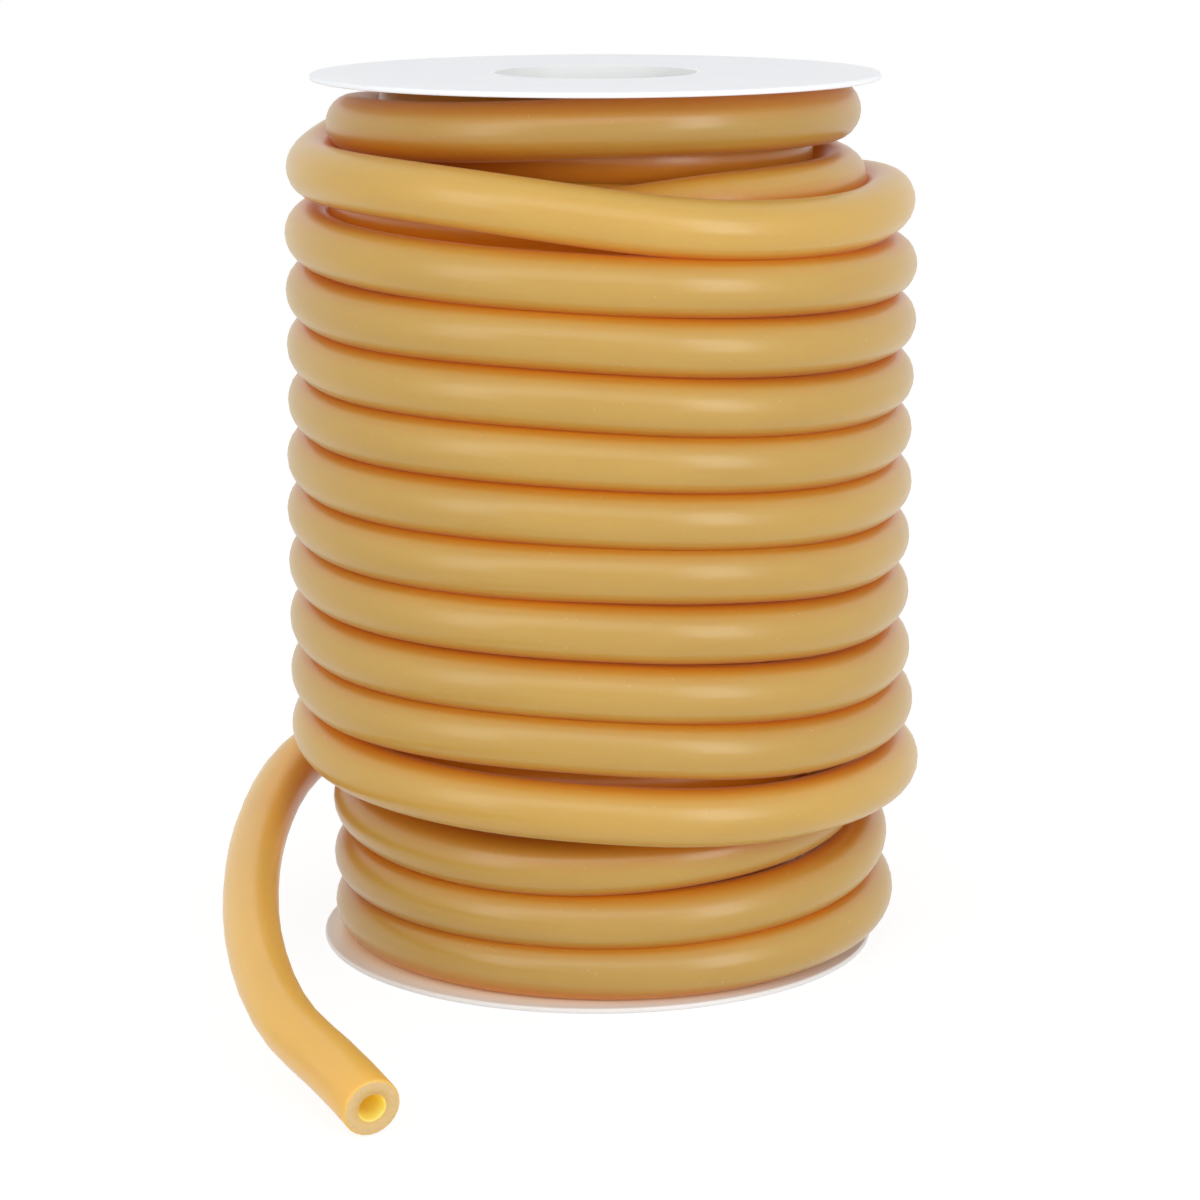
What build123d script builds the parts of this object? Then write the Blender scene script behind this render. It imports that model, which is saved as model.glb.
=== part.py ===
from build123d import *
import math
import os

# Rubber tubing wound in layers on a white plastic spool that stands on its lower flange.
# Millimetres, +Z up. The spool's axis is Z, its base lies on z = 0, and -Y is the side
# where the tubing's free end comes forward.

# Tubing
tube_od = 11.0
tube_bore = 5.0

# Spool: two flanges, each with a collar that plugs into the core tube
flange_dia = 114.0
flange_thickness = 1.1
spool_height = 178.0
spool_bore = 40.5
collar_wall = 1.25
collar_length = 14.0
collar_clearance = 0.05
core_wall = 1.2
rim_round_share = 0.4
lead_in_share = 0.5

# Winding: layers that climb and fall in turn between the flanges
layer_count = 4
layer_rise_share = 0.89
turn_gap = 0.3
winding_clearance = 0.1
bedding_share = 0.32
groove_fill_share = 0.11
top_half_turns = 6

# Outer layer, which falls from the upper flange and stops short of the lower one
outer_shift = 0.8
outer_front_share = 0.55
first_turn_gap = 1.8
last_turn_slack = 2.3
exit_slack = 4.5
exit_share = 0.59

# Loose turns of the layer beneath, open to view above the lower flange
loose_turns = 3
loose_slack = 4.7
loose_shift_x = 3.3
loose_shift_y = 2.4
loose_front_share = 0.36
loose_cover_share = 1.35

# Free end: straight out of the winding, then forward and down to the surface
exit_run = 22.0
tail_route = [
    (-55.4, 38.8, 33.2),
    (-65.6, 19.4, 29.6),
    (-69.2, -8.2, 25.2),
    (-69.2, -36.2, 21.2),
    (-66.0, -65.8, 16.4),
    (-58.0, -94.0, 11.2),
    (-46.2, -111.8, 8.2),
    (-39.7, -124.0, 5.7),
]
arc_share = 0.45

# Worked out
tube_radius = tube_od / 2
pitch = tube_od + turn_gap
layer_rise = tube_od * layer_rise_share
flange_radius = flange_dia / 2
bore_radius = spool_bore / 2
collar_radius = bore_radius + collar_wall
core_inner_radius = collar_radius + collar_clearance
core_radius = core_inner_radius + core_wall
winding_bottom = flange_thickness + winding_clearance
winding_top = spool_height - flange_thickness - winding_clearance
first_layer_radius = core_radius + winding_clearance + tube_radius
outer_radius = first_layer_radius + (layer_count - 1) * layer_rise
under_radius = outer_radius - layer_rise
buried_radius = under_radius - layer_rise
RIGHT, LEFT = 1, -1
BACK, FRONT = 1, -1


def flange():
    """Thin disc with a softly rounded rim and a collar round its hole, base on z = 0."""
    collar_top = flange_thickness + collar_length
    outline = Polyline(
        (bore_radius, 0),
        (flange_radius, 0),
        (flange_radius, flange_thickness),
        (collar_radius, flange_thickness),
        (collar_radius, collar_top),
        (bore_radius, collar_top),
        close=True,
    )
    profile = make_face(outline)
    rim = profile.vertices().group_by(Axis.X)[-1]
    profile = fillet(rim, flange_thickness * rim_round_share)
    lip = profile.vertices().group_by(Axis.Y)[-1].sort_by(Axis.X)[-1]
    profile = chamfer(lip, collar_wall * lead_in_share)
    return revolve(Plane.XZ * profile, Axis.Z)


def core_tube():
    """Plain tube that the collars plug into, from flange to flange."""
    length = spool_height - 2 * flange_thickness
    base = Plane.XY.offset(flange_thickness)
    wall = Circle(core_radius) - Circle(core_inner_radius)
    return extrude(base * wall, length)


def half_turn(start, end, side):
    """Half a turn from one side of the spool to the other, by the front or the back.

    Each is a half circle whose plane holds Y, so a turn may climb and widen from end to
    end and still runs on smoothly into the next.
    """
    middle = (start + end) / 2 + Vector(0, side * (end - start).length / 2, 0)
    return ThreePointArc(start, middle, end)


def turns(tips, side):
    """Half turns through the tips, which lie right and left of the axis by turns."""
    arcs = []
    for start, end in zip(tips, tips[1:]):
        arcs.append(half_turn(start, end, side))
        side = -side
    return arcs


def along(path, section):
    """Section swept along a path that starts square to it."""
    return sweep(Plane(origin=path @ 0, z_dir=path % 0) * section, path=path)


def turn_section():
    return Circle(tube_radius)


top_z = winding_top - tube_radius
first_left_z = top_z - pitch
front_drop = pitch * outer_front_share


def outer_left_z(turn):
    """Height of the outer layer where a turn, counted from 0, passes the left side."""
    opening = first_turn_gap if turn > 0 else 0
    return first_left_z - turn * pitch - opening


loose_z = winding_bottom + tube_radius
loose_top_z = loose_z + (loose_turns - 1) * pitch
room = outer_left_z(1) - loose_top_z - pitch * loose_cover_share
outer_turns = 2 + max(1, int(room / pitch))


def outer_arcs():
    """The outer layer's half turns, with the last one cut where the free end leaves."""
    right_x = outer_radius + outer_shift
    left_x = outer_shift - outer_radius
    tips = []
    for turn in range(outer_turns):
        slack = last_turn_slack if turn == outer_turns - 1 else 0
        left_z = outer_left_z(turn)
        tips.append(Vector(left_x, 0, left_z))
        tips.append(Vector(right_x + slack, 0, left_z - front_drop))
    tips.append(Vector(left_x - exit_slack, 0, outer_left_z(outer_turns)))
    arcs = turns(tips, FRONT)
    arcs[-1] = arcs[-1].trim(0, exit_share)
    return arcs


def top_arcs():
    """The last turns of the layer beneath, as they close up under the upper flange."""
    tips = []
    side = RIGHT
    for half in range(top_half_turns):
        tips.append(Vector(side * under_radius, 0, top_z - half * pitch / 2))
        side = -side
    tips.reverse()
    return turns(tips, FRONT)


def climb_arc():
    """Half turn at the back that climbs from under the upper flange to the outer layer."""
    start = Vector(under_radius, 0, top_z)
    end = Vector(outer_shift - outer_radius, 0, first_left_z)
    return half_turn(start, end, BACK)


def loose_arcs():
    """Loose turns on the lower flange: out of the wound layers, round, and back under."""
    loose_radius = under_radius + loose_slack
    right_x = loose_shift_x + loose_radius
    left_x = loose_shift_x - loose_radius
    front_rise = pitch * loose_front_share
    tips = [Vector(buried_radius, loose_shift_y, loose_z)]
    for turn in range(loose_turns):
        left_z = loose_z + turn * pitch
        tuck = (right_x - buried_radius) / 2 if turn == loose_turns - 1 else 0
        tips.append(Vector(left_x, loose_shift_y, left_z))
        tips.append(Vector(right_x - tuck, loose_shift_y, left_z + front_rise))
    tips.append(Vector(-buried_radius, loose_shift_y, loose_z + loose_turns * pitch))
    return turns(tips, BACK)


def barrel():
    """The layers out of sight, as one mass that the turns in view are bedded in."""
    bore = Circle(core_radius + winding_clearance)
    under = Circle(under_radius - tube_radius + tube_od * bedding_share) - bore
    whole = extrude(Plane.XY.offset(winding_bottom) * under, winding_top - winding_bottom)
    low = outer_left_z(outer_turns - 1)
    high = outer_left_z(1) + tube_radius / 2
    outer = Pos(outer_shift, 0) * Circle(outer_radius + tube_od * groove_fill_share) - bore
    return whole + extrude(Plane.XY.offset(low) * outer, high - low)


def tubing_coil(last_arcs):
    """The wound roll as one solid, with every turn in view standing out of it."""
    roll = barrel()
    for arcs in (loose_arcs(), top_arcs(), [climb_arc()], last_arcs):
        roll += along(Wire(arcs), turn_section())
    return roll


def tail_points(last_arc):
    """Route of the free end: off the winding along its line, then the chosen points."""
    start = last_arc @ 1
    return [start, start + (last_arc % 1) * exit_run] + [Vector(*point) for point in tail_route]


def corner_radii(points):
    """Largest arc that each corner's two runs leave room for."""
    radii = []
    for before, corner, after in zip(points, points[1:], points[2:]):
        arrive = corner - before
        leave = after - corner
        half = math.radians(arrive.get_angle(leave)) / 2
        radii.append(arc_share * min(arrive.length, leave.length) / math.tan(half))
    return radii


def tubing_tail(points):
    """The free end of the tubing, with its bore open at the cut."""
    radii = corner_radii(points)
    path = FilletPolyline(*points, radius=radii)
    section = Circle(tube_radius) - Circle(tube_bore / 2)
    tube = along(path, section)
    print("free end: radii", [round(radius, 1) for radius in radii])
    print("free end: length", round(path.length, 1))
    print("free end: volume", round(tube.volume, 1), "of", round(section.area * path.length, 1))
    return tube


os.makedirs("parts", exist_ok=True)
last_arcs = outer_arcs()
tail_path = tail_points(last_arcs[-1])
lower = flange()
middle = Plane.XY.offset(spool_height / 2)
pieces = {
    "bottom_flange": lower,
    "top_flange": mirror(lower, about=middle),
    "core_tube": core_tube(),
    "tubing_coil": tubing_coil(last_arcs),
    "tubing_tail": tubing_tail(tail_path),
}
print("outer turns", outer_turns)
print("free end: route", [tuple(round(value, 2) for value in point) for point in tail_path])
for name, piece in pieces.items():
    export_step(piece, f"parts/{name}.step")
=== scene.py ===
import math

import bpy
import numpy as np
from mathutils import Matrix, Vector
from mathutils.bvhtree import BVHTree


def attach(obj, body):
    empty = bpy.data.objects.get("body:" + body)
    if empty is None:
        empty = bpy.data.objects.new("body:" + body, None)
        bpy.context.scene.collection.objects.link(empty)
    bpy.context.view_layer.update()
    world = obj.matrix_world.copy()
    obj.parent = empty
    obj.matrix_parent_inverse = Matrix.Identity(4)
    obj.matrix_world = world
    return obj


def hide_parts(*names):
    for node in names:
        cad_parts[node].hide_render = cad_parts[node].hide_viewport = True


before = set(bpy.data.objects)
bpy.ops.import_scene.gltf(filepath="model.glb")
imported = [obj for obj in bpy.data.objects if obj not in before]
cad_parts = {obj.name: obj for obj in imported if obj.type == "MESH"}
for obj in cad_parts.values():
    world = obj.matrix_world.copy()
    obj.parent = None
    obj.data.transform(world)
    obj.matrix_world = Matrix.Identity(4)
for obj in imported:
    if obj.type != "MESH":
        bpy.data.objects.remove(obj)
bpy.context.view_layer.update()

# Rubber tubing wound in layers on a white plastic spool. Lengths below are in millimetres
# and are turned into metres where a mesh is made. TUBE_LENGTH, HIDDEN_LENGTH and the
# places of the camera and the lamps are in metres.
MM = 0.001

# The tubing and its section. It is round as far as ROUND_TO from the free end's cut, and
# from TALL_FROM on, in the winding, it is a little taller than wide.
TUBE_RADIUS = 5.5
BORE_RADIUS = 2.5
BORE_DEPTH = 45.0
TALL_SHARE = 1.04
ROUND_TO = 200.0
TALL_FROM = 350.0
SIDES = 24

# The cut ends: the softened edge of the skin and of the bore.
LIP = 0.35
LIP_SHARE = 0.3
BORE_LIP = 0.2

# The tubing's material slots.
SKIN, CUT, BORE = range(3)

# The flanges, and the shares of their radius between which the plastic's tint, its painted shade at
# the edge and its painted glow change.
FLANGE_RADIUS = 57.0
HOLE_FROM, HOLE_TO = 0.357, 0.37
RIM_FROM, RIM_TO = 0.9, 0.99
GLOW_FROM, GLOW_TO = 0.945, 0.985

# How open each place on the skin is: the rays that look out from it, how far off the skin
# they start and how far they look. The layers out of sight share one value. The latex's
# painted shade and painted glow are taken from it.
OPEN_RAYS = 28
OPEN_LIFT = 0.2
OPEN_REACH = 26.0
HIDDEN_LENGTH = 6.0
HIDDEN_OPEN = 0.45

# Control points in each turn, and points on the spline for each of them.
INNER_POINTS = 12
OUTER_POINTS = 24
SPLINE_STEPS = 3

# The winding, as stations along the tubing: turns counted from the left side by the
# front, the radius of the turn, its height, and the shift of its centre in x and y.
INNER_STATIONS = [
    (-0.2, 28.35, 6.7, 0, 0),
    (13.3, 28.35, 171.3, 0, 0),
    (13.95, 38.3, 171.2, 0, 0),
    (14.41, 38.14, 171.2, 0, 0),
    (29.2, 38.14, 6.7, 0, 0),
]
LOOSE_STATIONS = [
    (29.5, 40.0, 6.7, 0, 1.2),
    (30.0, 52.6, 6.7, 3.3, 2.4),
    (30.25, 52.6, 6.65, 3.3, 2.4),
    (30.4, 52.8, 8.0, 3.3, 2.4),
    (30.5, 53.0, 9.6, 3.3, 2.4),
    (30.75, 52.6, 13.8, 3.0, 2.4),
    (31.0, 52.2, 17.2, 2.8, 2.4),
    (31.25, 52.2, 16.7, 2.6, 2.4),
    (31.4, 52.2, 18.8, 2.6, 2.4),
    (31.5, 52.3, 21.9, 2.6, 2.4),
    (31.75, 52.0, 25.8, 2.6, 2.0),
    (32.0, 52.0, 29.2, 2.6, 1.8),
    (32.2, 51.4, 27.3, 2.2, 1.6),
    (32.3, 51.0, 28.9, 1.8, 1.4),
    (32.4, 50.0, 30.8, 1.3, 1.2),
    (32.5, 48.6, 33.2, 0.8, 1.0),
    (32.75, 47.4, 37.2, 0, 0.4),
    (33.0, 47.9, 40.8, 0, 0),
]
UNDER_STATIONS = [
    (43.0, 47.9, 151.0, 0, 0),
    (43.22, 47.4, 152.4, 0, 0),
    (43.29, 47.6, 155.0, 0, 0),
    (43.34, 48.0, 156.3, 0, 0),
    (43.5, 49.0, 157.2, 0, 0),
    (43.75, 48.6, 162.8, 0, 0),
    (44.0, 48.5, 168.2, 0, 0),
    (44.13, 47.8, 169.0, 0, 0),
    (44.3, 47.6, 171.1, 0, 0),
    (44.5, 47.5, 170.7, 0, 0),
    (44.64, 51.6, 170.8, 0, 0),
    (44.77, 57.4, 169.6, 0, 0),
    (44.88, 58.6, 165.2, 0.4, 0),
]

# The outer layer. Each turn runs level, steps down at the front and runs level again;
# the first, second and last turns have a line of their own. Places within a turn are
# shares of it, and slack widens a turn at its left and right sides.
OUTER_FIRST = 45
OUTER_SHIFT = 0.8
OUTER_RADIUS = 57.7
LEFT_HEIGHT = [159.7, 146.9, 135.5, 124.4, 113.2, 101.7, 90.7, 79.9, 68.6, 57.4, 45.8]
RIGHT_HEIGHT = [153.2, 140.2, 128.9, 117.5, 106.9, 96.0, 84.9, 73.5, 61.6, 50.6, 37.8]
LEFT_SLACK = [-0.45, 0.1, 0.1, 0.1, 0.1, 0.5, 0.7, 0.6, 0.6, 0.6, 0.6]
RIGHT_SLACK = [0.1, 0.7, 0.65, 0.35, 0.05, 0.25, -0.05, -0.05, 0.35, 1.15, 2.55]
SLACK_AT = [0, 0.2, 0.3, 0.5, 0.75]
STEP_AT = [0.08, 0.2, 0.25, 0.3, 0.35, 0.4]
STEP_SHARES = [0.30, 0.43, 0.58, 0.79, 0.97, 1.08]
STEP_LIFTS = {
    2: [0, 0, 0, 0, 0.2, 0.35],
    3: [0, 0, 0, 0, 0.1, 0.2],
    6: [0, 0, 0.6, 0.8, 0.8, 0],
    7: [0, 0, 0.3, 0.4, 0.4, 0],
    8: [0, 0, 0.2, 0.3, 0.3, 0],
    9: [0, 0.6, 0.8, 0.5, 0, 0],
}
OWN_LINES = {
    0: [
        (0.1, 159.3), (0.15, 158.7), (0.19, 157.6), (0.23, 155.9), (0.26, 154.3),
        (0.3, 152.5), (0.33, 151.7), (0.37, 151.3), (0.41, 151.4), (0.45, 152.4),
    ],
    1: [(0.07, 145.6), (0.13, 144.7), (0.19, 143.7), (0.26, 142.4), (0.35, 140.8), (0.42, 140.2)],
    10: [(0.1, 43.2), (0.2, 41.6), (0.25, 40.6), (0.3, 39.0), (0.36, 37.9)],
}
EXIT_STATIONS = [
    (55.75, 61.1, 36.2, -0.3, 0),
    (55.79, 61.1, 35.9, -0.3, 0),
]

# The free end's route: off the winding, forward along the left, and down to the surface.
TAIL_ROUTE = [
    (-17.35, 58.74, 35.73),
    (-38.46, 52.61, 34.86),
    (-55.4, 38.8, 33.2),
    (-65.6, 19.4, 29.6),
    (-69.2, -8.2, 25.2),
    (-69.2, -36.2, 21.2),
    (-66.0, -65.8, 16.4),
    (-58.0, -94.0, 11.2),
    (-46.2, -111.8, 8.2),
    (-39.7, -124.0, 5.7),
]

# The camera, from where the photo was taken: its lens and place, and its turns in radians.
LENS = 106.97
SENSOR = 36
CAMERA_PLACE = (0, -0.71781, 0.22550)
CAMERA_TURN = -0.000932
CAMERA_TILT = 0.213135
CAMERA_ROLL = -0.002374

# The studio.
WORLD_STRENGTH = 0.65
FLOOR_REACH = 6.0
FLOOR_GLOW = 1.1
FLOOR_GLOW_SHARE = 0.8
SIDE_TARGET = (0, 0, 0.09)
SIDE_SIZE = (0.4, 0.75)


def front_line(turn):
    """Heights of an outer turn across the front, between its left and right sides."""
    if turn in OWN_LINES:
        return OWN_LINES[turn]
    left = LEFT_HEIGHT[turn]
    fall = RIGHT_HEIGHT[turn] - left
    lifts = STEP_LIFTS.get(turn, [0] * len(STEP_AT))
    return [(at, left + share * fall + lift) for at, share, lift in zip(STEP_AT, STEP_SHARES, lifts)]


def outer_stations():
    """The outer layer's turns, from under the upper flange down to the free end."""
    stations = []
    for turn, left in enumerate(LEFT_HEIGHT):
        start = OUTER_FIRST + turn
        right = RIGHT_HEIGHT[turn]
        heights = [(0, left)] + front_line(turn) + [(0.5, right)]
        if turn + 1 < len(LEFT_HEIGHT):
            heights.append((0.75, (right + LEFT_HEIGHT[turn + 1]) / 2))
        slacks = [LEFT_SLACK[turn], 0, 0, RIGHT_SLACK[turn], 0]
        for at, height in heights:
            radius = OUTER_RADIUS + np.interp(at, SLACK_AT, slacks)
            stations.append((start + at, radius, height, OUTER_SHIFT, 0))
    return stations + EXIT_STATIONS


def eased(at, known, values):
    """Values between stations, smooth and without overshoot."""
    step = np.diff(known)
    slope = np.diff(values) / step
    tangent = np.zeros(len(known))
    tangent[0], tangent[-1] = slope[0], slope[-1]
    same = slope[:-1] * slope[1:] > 0
    first = 2 * step[1:] + step[:-1]
    second = step[1:] + 2 * step[:-1]
    before = np.where(same, slope[:-1], 1)
    after = np.where(same, slope[1:], 1)
    tangent[1:-1] = np.where(same, (first + second) / (first / before + second / after), 0)
    i = np.clip(np.searchsorted(known, at, side="right") - 1, 0, len(step) - 1)
    t = (at - known[i]) / step[i]
    rise = t * t * (3 - 2 * t)
    leave = t * (1 - t) ** 2 * step[i] * tangent[i]
    arrive = t * t * (t - 1) * step[i] * tangent[i + 1]
    return values[i] * (1 - rise) + values[i + 1] * rise + leave + arrive


def winding_points():
    """Control points of all the turns, in millimetres, from the core outwards."""
    stations = INNER_STATIONS + LOOSE_STATIONS + UNDER_STATIONS + outer_stations()
    table = np.array(stations, float)
    known = table[:, 0]
    change = LOOSE_STATIONS[0][0]
    inner = np.arange(known[0], change, 1 / INNER_POINTS)
    outer = np.arange(change, known[-1], 1 / OUTER_POINTS)
    at = np.concatenate([inner, outer])
    count = np.where(at < change, INNER_POINTS, OUTER_POINTS)
    radius, height, shift_x, shift_y = (eased(at, known, table[:, k]) for k in range(1, 5))
    radius = radius / np.cos(np.pi / count)
    angle = np.pi + 2 * np.pi * at
    x = shift_x + radius * np.cos(angle)
    y = shift_y + radius * np.sin(angle)
    return np.stack([x, y, height], axis=1)


def spline_points(control):
    """Points along the smooth line of the tubing, in metres."""
    curve = bpy.data.curves.new("tubing_line", "CURVE")
    curve.dimensions = "3D"
    spline = curve.splines.new("NURBS")
    spline.points.add(len(control) - 1)
    for point, place in zip(spline.points, control):
        point.co = (*(float(value) * MM for value in place), 1)
    spline.order_u = 3
    spline.use_endpoint_u = True
    spline.resolution_u = SPLINE_STEPS
    carrier = bpy.data.objects.new("tubing_line", curve)
    mesh = bpy.data.meshes.new_from_object(carrier)
    line = np.array([vertex.co for vertex in mesh.vertices], float)
    bpy.data.meshes.remove(mesh)
    bpy.data.objects.remove(carrier)
    bpy.data.curves.remove(curve)
    return line


def unit(vectors):
    """Vectors of length one, in the same directions."""
    return vectors / np.linalg.norm(vectors, axis=-1, keepdims=True)


def cross_frames(line):
    """Directions along, up and out from the tubing at each point."""
    along = unit(np.gradient(line, axis=0))
    up = unit(np.array([0.0, 0.0, 1.0]) - along * along[:, 2:])
    return along, up, np.cross(along, up)


def sky_rays():
    """Directions over a half sphere round +Z, denser near its top."""
    step = (np.arange(OPEN_RAYS) + 0.5) / OPEN_RAYS
    angle = np.pi * (1 + math.sqrt(5)) * np.arange(OPEN_RAYS)
    flat = np.sqrt(step)
    return np.stack([flat * np.cos(angle), flat * np.sin(angle), np.sqrt(1 - step)], axis=1)


def surroundings(vertices, faces):
    """The tubing and the flanges as one tree for rays."""
    points = [tuple(place) for place in vertices]
    polygons = list(faces)
    for name in ("bottom_flange", "top_flange"):
        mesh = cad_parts[name].data
        first = len(points)
        points.extend(tuple(vertex.co) for vertex in mesh.vertices)
        polygons.extend(tuple(first + k for k in polygon.vertices) for polygon in mesh.polygons)
    return BVHTree.FromPolygons(points, polygons)


def openness(points, normals, tree):
    """Share of the light that reaches each point past what lies close to it."""
    rays = sky_rays()
    reach = OPEN_REACH * MM
    shares = []
    for point, normal in zip(points, normals):
        side = np.cross(normal, (0.0, 0.0, 1.0) if abs(normal[2]) < 0.9 else (1.0, 0.0, 0.0))
        side = side / np.linalg.norm(side)
        across = np.cross(normal, side)
        start = Vector(point + normal * OPEN_LIFT * MM)
        closed = 0.0
        for ray in rays @ np.stack([side, across, normal]):
            met, facing, _, distance = tree.ray_cast(start, ray, reach)
            if met is not None:
                pressed = facing.dot(Vector(ray)) > 0
                closed += 1 if pressed else 1 - distance / reach
        shares.append(1 - closed / OPEN_RAYS)
    return shares


def bands(rings, slots):
    """Faces between neighbouring rings, and one across the bottom of each bore."""
    faces, face_slots = [], []
    for first, second, slot in zip(rings, rings[1:], slots):
        for k in range(SIDES):
            n = (k + 1) % SIDES
            faces.append((first + k, first + n, second + n, second + k))
            face_slots.append(slot)
    faces.append(tuple(rings[0] + k for k in reversed(range(SIDES))))
    face_slots.append(BORE)
    faces.append(tuple(rings[-1] + k for k in range(SIDES)))
    face_slots.append(BORE)
    return faces, face_slots


def tubing():
    """The tubing as one closed mesh, hollow at both cut ends."""
    control = np.concatenate([winding_points(), np.array(TAIL_ROUTE, float)])
    line = spline_points(control)
    tangent, up, out = cross_frames(line)
    along = np.concatenate([[0], np.cumsum(np.linalg.norm(np.diff(line, axis=0), axis=1))])
    tall = np.interp(along[-1] - along, [ROUND_TO * MM, TALL_FROM * MM], [1, TALL_SHARE])
    turn = np.arange(SIDES) * 2 * np.pi / SIDES
    vertices, normals, places, rings, slots = [], [], [], [], []

    def ring(i, shift, radius, slot):
        """One ring at point i, moved along by shift, and the slot of the band after it."""
        centre = line[i] + tangent[i] * shift * MM
        around = np.outer(np.cos(turn) * tall[i], up[i]) + np.outer(np.sin(turn), out[i])
        rings.append(len(vertices))
        slots.append(slot)
        vertices.extend(centre + around * radius * MM)
        normals.extend(unit(around))
        for angle in turn:
            across = (radius * MM * math.cos(angle), radius * MM * math.sin(angle))
            places.append((along[i] + shift * MM, *across))

    last = len(line) - 1
    deep_start = int(np.searchsorted(along, BORE_DEPTH * MM))
    deep_end = int(np.searchsorted(along, along[-1] - BORE_DEPTH * MM))

    # From the bottom of the first bore, out over its cut face, along the skin to the
    # other cut face, and down into that bore.
    ease = LIP * LIP_SHARE
    for i in range(deep_start, 0, -1):
        ring(i, 0, BORE_RADIUS, BORE)
    ring(0, LIP, BORE_RADIUS, BORE)
    ring(0, 0, BORE_RADIUS + BORE_LIP, CUT)
    ring(0, 0, TUBE_RADIUS - LIP, SKIN)
    ring(0, ease, TUBE_RADIUS - ease, SKIN)
    ring(0, LIP, TUBE_RADIUS, SKIN)
    for i in range(1, last):
        ring(i, 0, TUBE_RADIUS, SKIN)
    ring(last, -LIP, TUBE_RADIUS, SKIN)
    ring(last, -ease, TUBE_RADIUS - ease, SKIN)
    ring(last, 0, TUBE_RADIUS - LIP, CUT)
    ring(last, 0, BORE_RADIUS + BORE_LIP, BORE)
    ring(last, -LIP, BORE_RADIUS, BORE)
    for i in range(last - 1, deep_end, -1):
        ring(i, 0, BORE_RADIUS, BORE)

    faces, face_slots = bands(rings, slots)
    mesh = bpy.data.meshes.new("tubing")
    mesh.from_pydata([tuple(place) for place in vertices], [], faces)
    mesh.polygons.foreach_set("material_index", face_slots)
    mesh.polygons.foreach_set("use_smooth", [True] * len(faces))
    straight = mesh.attributes.new("straight", "FLOAT_VECTOR", "POINT")
    straight.data.foreach_set("vector", np.array(places, np.float32).ravel())
    tree = surroundings(vertices, faces)
    seen = [k for k, place in enumerate(places) if place[0] > HIDDEN_LENGTH]
    shares = np.full(len(vertices), HIDDEN_OPEN, np.float32)
    shares[seen] = openness([vertices[k] for k in seen], [normals[k] for k in seen], tree)
    mesh.attributes.new("open", "FLOAT", "POINT").data.foreach_set("value", shares)
    mesh.update()
    piece = bpy.data.objects.new("tubing", mesh)
    bpy.context.scene.collection.objects.link(piece)
    return piece, line


def node(tree, kind, **values):
    """A new node of one kind, with its settings."""
    made = tree.nodes.new(kind)
    for name, value in values.items():
        setattr(made, name, value)
    return made


def new_material(name):
    """A material, its node tree and its shader."""
    material = bpy.data.materials.new(name)
    material.use_nodes = True
    tree = material.node_tree
    return material, tree, tree.nodes["Principled BSDF"]


def link(tree, source, output, target, socket):
    """A link from one node's output to another's socket."""
    tree.links.new(source.outputs[output], target.inputs[socket])


def noise(tree, source, output, scale, detail, stretch=(1, 1, 1)):
    """Noise on a vector, stretched along its axes."""
    place = node(tree, "ShaderNodeMapping")
    place.inputs["Scale"].default_value = stretch
    link(tree, source, output, place, "Vector")
    cloud = node(tree, "ShaderNodeTexNoise")
    cloud.inputs["Scale"].default_value = scale
    cloud.inputs["Detail"].default_value = detail
    link(tree, place, "Vector", cloud, "Vector")
    return cloud


def ramp(tree, source, output, stops):
    """Colours by value, from a list of (value, colour)."""
    tone = node(tree, "ShaderNodeValToRGB")
    elements = tone.color_ramp.elements
    for element, (place, colour) in zip(elements, stops):
        element.position = place
        element.color = (*colour, 1)
    for place, colour in stops[2:]:
        elements.new(place).color = (*colour, 1)
    link(tree, source, output, tone, "Fac")
    return tone


def spread(tree, source, output, low, high):
    """A value between 0 and 1 moved to low and high."""
    range_node = node(tree, "ShaderNodeMapRange")
    range_node.inputs["To Min"].default_value = low
    range_node.inputs["To Max"].default_value = high
    link(tree, source, output, range_node, "Value")
    return range_node


def blend(tree, kind, share, first, first_output, second, second_output):
    """Two colours mixed by one share all over."""
    mix = node(tree, "ShaderNodeMix", data_type="RGBA", blend_type=kind)
    mix.inputs[0].default_value = share
    link(tree, first, first_output, mix, 6)
    link(tree, second, second_output, mix, 7)
    return mix


def bumpy(tree, shader, source, output, strength, depth):
    """Fine relief on the shader's normal, with its depth in millimetres."""
    bump = node(tree, "ShaderNodeBump")
    bump.inputs["Strength"].default_value = strength
    bump.inputs["Distance"].default_value = depth * MM
    link(tree, source, output, bump, "Height")
    link(tree, bump, "Normal", shader, "Normal")


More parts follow.
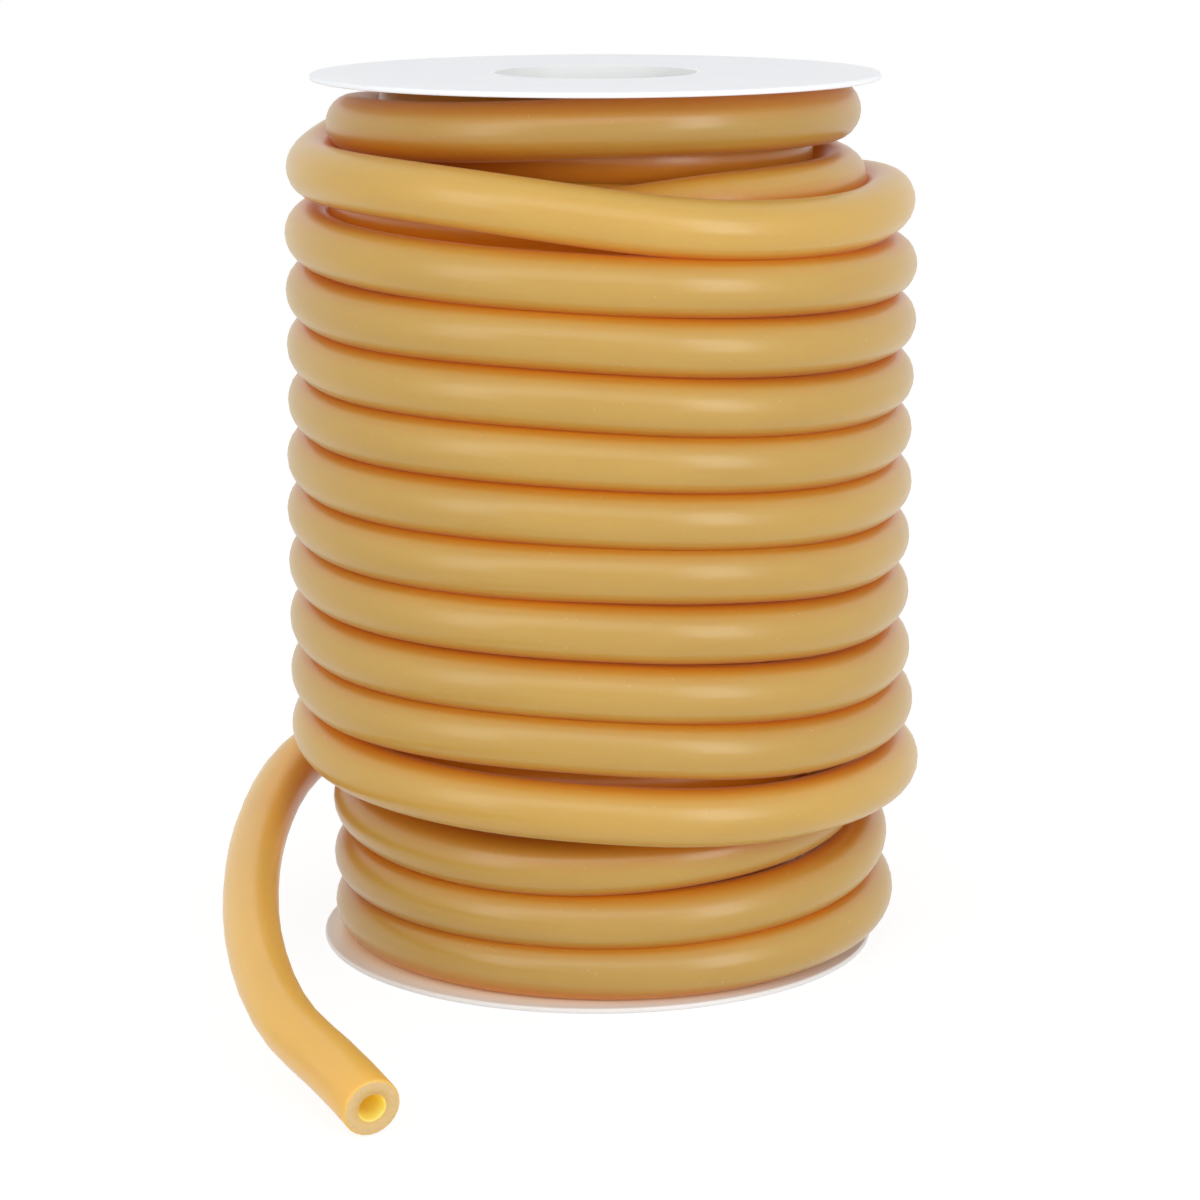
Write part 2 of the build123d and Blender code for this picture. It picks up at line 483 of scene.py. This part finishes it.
def latex(length):
    """Amber latex: satin, faintly streaked along the tubing, with a few pale specks, painted shade
    and light along its layers and in its hollows, and a painted glow where it is most closed in.
    """
    material, tree, shader = new_material("amber_latex")
    place = node(tree, "ShaderNodeAttribute", attribute_name="straight")
    parts = node(tree, "ShaderNodeSeparateXYZ")
    link(tree, place, "Vector", parts, "Vector")
    way = node(tree, "ShaderNodeMath", operation="DIVIDE")
    way.inputs[1].default_value = length
    link(tree, parts, "X", way, 0)
    # Painted shade and light along the tubing: darker on the layers beneath and on the turn under the
    # upper flange, lighter on the first outer turn and on the free end.
    tones = [
        # Layers out of sight and the loose turns, then the layer beneath
        (0.425, 0.665), (0.490, 0.665), (0.550, 0.70), (0.685, 0.76),
        # The last turn under the upper flange
        (0.703, 0.64), (0.712, 0.58), (0.718, 0.67),
        # The first outer turn, then the outer layer
        (0.728, 0.79), (0.748, 0.79), (0.754, 0.71), (0.775, 0.69), (0.955, 0.69),
        # The slack last turn and the free end
        (0.970, 0.76), (0.984, 0.77), (0.990, 1.0),
    ]
    shade_along = ramp(tree, way, "Value", [(share, (tone, tone, tone)) for share, tone in tones])
    light = node(tree, "ShaderNodeAttribute", attribute_name="open")
    # Painted shade: redder, deeper amber where the skin is closed in, in grooves and hollows.
    depth = ramp(tree, light, "Fac", [
        (0.10, (0.90, 0.285, 0.012)),
        (0.35, (0.90, 0.335, 0.022)),
        (0.55, (0.85, 0.36, 0.038)),
        (0.75, (0.815, 0.43, 0.074)),
        (0.95, (0.772, 0.482, 0.100)),
    ])
    # Painted light on the free end: brighter orange on its shaded side.
    free_end_shade = ramp(tree, light, "Fac", [
        (0.30, (1.0, 0.45, 0.03)),
        (0.55, (1.0, 0.52, 0.05)),
        (0.80, (1.0, 0.555, 0.075)),
        (0.97, (0.79, 0.475, 0.094)),
    ])
    free = ramp(tree, way, "Value", [(0.9855, (0, 0, 0)), (0.9885, (1, 1, 1))])
    shade = node(tree, "ShaderNodeMix", data_type="RGBA")
    link(tree, free, "Color", shade, 0)
    link(tree, depth, "Color", shade, 6)
    link(tree, free_end_shade, "Color", shade, 7)
    warm = blend(tree, "MULTIPLY", 1.0, shade_along, "Color", shade, 2)
    cloud = noise(tree, place, "Vector", scale=110, detail=3, stretch=(0.3, 1, 1))
    patch = ramp(tree, cloud, "Fac", [(0.3, (0.94, 0.925, 0.89)), (0.7, (1, 1, 1))])
    tinted = blend(tree, "MULTIPLY", 1.0, warm, 2, patch, "Color")
    grain = noise(tree, place, "Vector", scale=1500, detail=1)
    speck = ramp(tree, grain, "Fac", [(0.75, (0, 0, 0)), (0.79, (0.25, 0.25, 0.25))])
    pale = node(tree, "ShaderNodeMix", data_type="RGBA")
    link(tree, speck, "Color", pale, 0)
    link(tree, tinted, 2, pale, 6)
    pale.inputs[7].default_value = (0.78, 0.62, 0.36, 1)
    link(tree, pale, 2, shader, "Base Color")
    streak = noise(tree, place, "Vector", scale=420, detail=2, stretch=(0.08, 1, 1))
    rough = spread(tree, streak, "Fac", low=0.3, high=0.42)
    link(tree, rough, "Result", shader, "Roughness")
    bumpy(tree, shader, streak, "Fac", strength=0.1, depth=0.04)
    shader.inputs["Subsurface Weight"].default_value = 0.6
    shader.inputs["Subsurface Radius"].default_value = (1.0, 0.5, 0.12)
    shader.inputs["Subsurface Scale"].default_value = 0.005
    shader.inputs["Coat Weight"].default_value = 0.22
    shader.inputs["Coat Roughness"].default_value = 0.18
    shader.inputs["Sheen Weight"].default_value = 0.12
    shader.inputs["Sheen Roughness"].default_value = 0.3
    shader.inputs["Sheen Tint"].default_value = (0.95, 0.93, 1.0, 1)
    # Painted glow: a faint warm light given off where the skin is most closed in.
    through = ramp(tree, light, "Fac", [(0.02, (0.09, 0.028, 0.001)), (0.5, (0, 0, 0))])
    link(tree, through, "Color", shader, "Emission Color")
    shader.inputs["Emission Strength"].default_value = 1.0
    material.cycles.emission_sampling = "NONE"
    return material


def cut_latex():
    """The cut face: dull and pale, yellower round the bore."""
    material, tree, shader = new_material("cut_latex")
    place = node(tree, "ShaderNodeAttribute", attribute_name="straight")
    across = node(tree, "ShaderNodeMapping")
    across.inputs["Scale"].default_value = (0, 1, 1)
    link(tree, place, "Vector", across, "Vector")
    reach = node(tree, "ShaderNodeVectorMath", operation="LENGTH")
    link(tree, across, "Vector", reach, 0)
    share = node(tree, "ShaderNodeMath", operation="DIVIDE")
    share.inputs[1].default_value = TUBE_RADIUS * MM
    link(tree, reach, "Value", share, 0)
    rings = ramp(tree, share, "Value", [(0.48, (0.71, 0.465, 0.14)), (0.75, (0.72, 0.525, 0.25))])
    grain = noise(tree, place, "Vector", scale=1400, detail=3)
    patch = ramp(tree, grain, "Fac", [(0.3, (0.92, 0.91, 0.88)), (0.7, (1, 1, 1))])
    mixed = blend(tree, "MULTIPLY", 1.0, rings, "Color", patch, "Color")
    link(tree, mixed, 2, shader, "Base Color")
    rough = spread(tree, grain, "Fac", low=0.5, high=0.7)
    link(tree, rough, "Result", shader, "Roughness")
    bumpy(tree, shader, grain, "Fac", strength=0.3, depth=0.05)
    shader.inputs["Subsurface Weight"].default_value = 0.5
    shader.inputs["Subsurface Radius"].default_value = (1.0, 0.42, 0.10)
    shader.inputs["Subsurface Scale"].default_value = 0.002
    return material


def bore_latex():
    """The bore's wall: bright amber, with a faint painted glow standing in for light through the
    tubing.
    """
    material, tree, shader = new_material("bore_latex")
    place = node(tree, "ShaderNodeAttribute", attribute_name="straight")
    streak = noise(tree, place, "Vector", scale=700, detail=2, stretch=(0.1, 1, 1))
    tone = ramp(tree, streak, "Fac", [(0.3, (0.97, 0.64, 0.15)), (0.7, (1.0, 0.69, 0.18))])
    link(tree, tone, "Color", shader, "Base Color")
    rough = spread(tree, streak, "Fac", low=0.35, high=0.5)
    link(tree, rough, "Result", shader, "Roughness")
    shader.inputs["Subsurface Weight"].default_value = 1.0
    shader.inputs["Subsurface Radius"].default_value = (1.0, 0.6, 0.3)
    shader.inputs["Subsurface Scale"].default_value = 0.014
    # Painted glow: a faint amber light given off by the bore's wall.
    shader.inputs["Emission Color"].default_value = (1.0, 0.55, 0.07, 1)
    shader.inputs["Emission Strength"].default_value = 0.06
    material.cycles.emission_sampling = "NONE"
    return material


def plastic(name, dark, light, roughness, disc_tint=(1, 1, 1), rim_shade=(1, 1, 1), glow=None):
    """Moulded plastic: faintly clouded and fine grained, plain inside the hole.

    Outside the hole it is tinted where the tubing lies, which leaves the plain hole
    lighter as painted light; on the lower flange that tint is painted bounce light from
    the tubing. A darker tint at its edge is painted shade, and glow is painted light
    given off over the disc and fading out at its edge, lifting the shade under the tubing.
    """
    material, tree, shader = new_material(name)
    place = node(tree, "ShaderNodeTexCoord")
    cloud = noise(tree, place, "Object", scale=45, detail=3)
    tone = ramp(tree, cloud, "Fac", [(0.3, dark), (0.7, light)])
    flat = node(tree, "ShaderNodeMapping")
    flat.inputs["Scale"].default_value = (1, 1, 0)
    link(tree, place, "Object", flat, "Vector")
    reach = node(tree, "ShaderNodeVectorMath", operation="LENGTH")
    link(tree, flat, "Vector", reach, 0)
    share = node(tree, "ShaderNodeMath", operation="DIVIDE")
    share.inputs[1].default_value = FLANGE_RADIUS * MM
    link(tree, reach, "Value", share, 0)
    # Painted light and shade: the plain hole stands lighter than the tinted disc, the lower flange's
    # warm tint is painted bounce light from the tubing, and a darker edge tint is painted shade.
    tint = ramp(tree, share, "Value", [
        (HOLE_FROM, (1, 1, 1)),
        (HOLE_TO, disc_tint),
        (RIM_FROM, disc_tint),
        (RIM_TO, rim_shade),
    ])
    mixed = blend(tree, "MULTIPLY", 1.0, tone, "Color", tint, "Color")
    link(tree, mixed, 2, shader, "Base Color")
    grain = noise(tree, place, "Object", scale=1800, detail=2)
    rough = spread(tree, grain, "Fac", *roughness)
    link(tree, rough, "Result", shader, "Roughness")
    bumpy(tree, shader, grain, "Fac", strength=0.15, depth=0.02)
    shader.inputs["Subsurface Weight"].default_value = 0.3
    shader.inputs["Subsurface Radius"].default_value = (1.0, 0.9, 0.8)
    shader.inputs["Subsurface Scale"].default_value = 0.002
    # Painted glow over the disc, fading out at its edge, which lifts the shade under the tubing.
    if glow:
        through = ramp(tree, share, "Value", [(GLOW_FROM, glow), (GLOW_TO, (0, 0, 0))])
        link(tree, through, "Color", shader, "Emission Color")
        shader.inputs["Emission Strength"].default_value = 1.0
        material.cycles.emission_sampling = "NONE"
    return material


def area_light(name, place, target, size, power):
    """A soft box at a place, turned to its target."""
    light = bpy.data.lights.new(name, "AREA")
    light.shape = "RECTANGLE"
    light.size, light.size_y = size
    light.energy = power
    lamp = bpy.data.objects.new(name, light)
    lamp.location = place
    lamp.rotation_euler = (Vector(target) - Vector(place)).to_track_quat("-Z", "Y").to_euler()
    bpy.context.scene.collection.objects.link(lamp)


def direct_rays(tree):
    """One for rays that show the surroundings: seen straight, in gloss or through glass."""
    rays = node(tree, "ShaderNodeLightPath")
    first = node(tree, "ShaderNodeMath", operation="MAXIMUM")
    link(tree, rays, "Is Camera Ray", first, 0)
    link(tree, rays, "Is Glossy Ray", first, 1)
    second = node(tree, "ShaderNodeMath", operation="MAXIMUM")
    link(tree, first, "Value", second, 0)
    link(tree, rays, "Is Transmission Ray", second, 1)
    return second


def world_light():
    """Even light all round, and plain white where it is seen."""
    world = bpy.data.worlds.new("studio")
    bpy.context.scene.world = world
    world.use_nodes = True
    tree = world.node_tree
    tree.nodes.clear()
    rays = direct_rays(tree)
    lit = node(tree, "ShaderNodeBackground")
    lit.inputs["Color"].default_value = (1, 1, 1, 1)
    lit.inputs["Strength"].default_value = WORLD_STRENGTH
    seen = node(tree, "ShaderNodeBackground")
    seen.inputs["Color"].default_value = (1, 1, 1, 1)
    seen.inputs["Strength"].default_value = 1
    mix = node(tree, "ShaderNodeMixShader")
    out = node(tree, "ShaderNodeOutputWorld")
    link(tree, rays, "Value", mix, 0)
    link(tree, lit, 0, mix, 1)
    link(tree, seen, 0, mix, 2)
    link(tree, mix, 0, out, "Surface")


def floor():
    """A pale floor, nearly white where it is seen, that keeps the object's shadow."""
    mesh = bpy.data.meshes.new("floor")
    corners = [(x * FLOOR_REACH, y * FLOOR_REACH, 0) for x, y in ((-1, -1), (1, -1), (1, 1), (-1, 1))]
    mesh.from_pydata(corners, [], [(0, 1, 2, 3)])
    ground = bpy.data.objects.new("floor", mesh)
    bpy.context.scene.collection.objects.link(ground)
    material = bpy.data.materials.new("floor")
    material.use_nodes = True
    tree = material.node_tree
    tree.nodes.clear()
    rays = direct_rays(tree)
    dull = node(tree, "ShaderNodeBsdfDiffuse")
    dull.inputs["Color"].default_value = (0.9, 0.9, 0.9, 1)
    glow = node(tree, "ShaderNodeEmission")
    glow.inputs["Strength"].default_value = FLOOR_GLOW
    share = node(tree, "ShaderNodeMath", operation="MULTIPLY")
    share.inputs[1].default_value = FLOOR_GLOW_SHARE
    mix = node(tree, "ShaderNodeMixShader")
    out = node(tree, "ShaderNodeOutputMaterial")
    link(tree, rays, "Value", share, 0)
    link(tree, share, "Value", mix, 0)
    link(tree, dull, 0, mix, 1)
    link(tree, glow, 0, mix, 2)
    link(tree, mix, 0, out, "Surface")
    mesh.materials.append(material)


def camera():
    """The camera at the photo's place, looking a little down."""
    lens = bpy.data.cameras.new("camera")
    lens.sensor_width = SENSOR
    lens.lens = LENS
    seen = bpy.data.objects.new("camera", lens)
    turn = Matrix.Rotation(CAMERA_TURN, 4, "Z")
    tilt = Matrix.Rotation(math.pi / 2 - CAMERA_TILT, 4, "X")
    roll = Matrix.Rotation(CAMERA_ROLL, 4, "Z")
    seen.matrix_world = Matrix.Translation(CAMERA_PLACE) @ turn @ tilt @ roll
    bpy.context.scene.collection.objects.link(seen)
    bpy.context.scene.camera = seen


tube, tube_line = tubing()
tube_length = float(np.linalg.norm(np.diff(tube_line, axis=0), axis=1).sum())
tube.data.materials.append(latex(tube_length))
tube.data.materials.append(cut_latex())
tube.data.materials.append(bore_latex())
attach(tube, "root")
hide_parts("tubing_coil", "tubing_tail")

white = ((0.962, 0.968, 0.975), (0.995, 1.0, 1.0), (0.28, 0.42))
cool = (0.925, 0.945, 0.99)
# The lower flange: warm painted bounce light over its face, painted shade at its edge and a faint
# painted glow.
lower = plastic(
    "lower_plastic",
    *white,
    disc_tint=(0.93, 0.84, 0.70),
    rim_shade=(0.825, 0.80, 0.79),
    glow=(0.04, 0.037, 0.02),
)
# The upper flange: a cool tint outside its plain hole, which leaves the hole lighter as painted
# light.
upper = plastic("upper_plastic", *white, disc_tint=cool, rim_shade=cool)
dull = plastic("core_plastic", (0.70, 0.68, 0.64), (0.74, 0.72, 0.68), (0.5, 0.65))
for name, material in (("bottom_flange", lower), ("top_flange", upper), ("core_tube", dull)):
    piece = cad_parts[name]
    piece.data.materials.clear()
    piece.data.materials.append(material)

area_light("left_box", (-0.75, -0.70, 0.36), SIDE_TARGET, SIDE_SIZE, power=2.0)
area_light("right_box", (0.72, -0.75, 0.36), SIDE_TARGET, SIDE_SIZE, power=3.3)
area_light("front_box", (-0.12, -1.0, 0.78), target=(0, 0, 0.12), size=(1.2, 0.6), power=3.0)
world_light()
floor()
camera()
bpy.context.scene.view_settings.view_transform = "Standard"
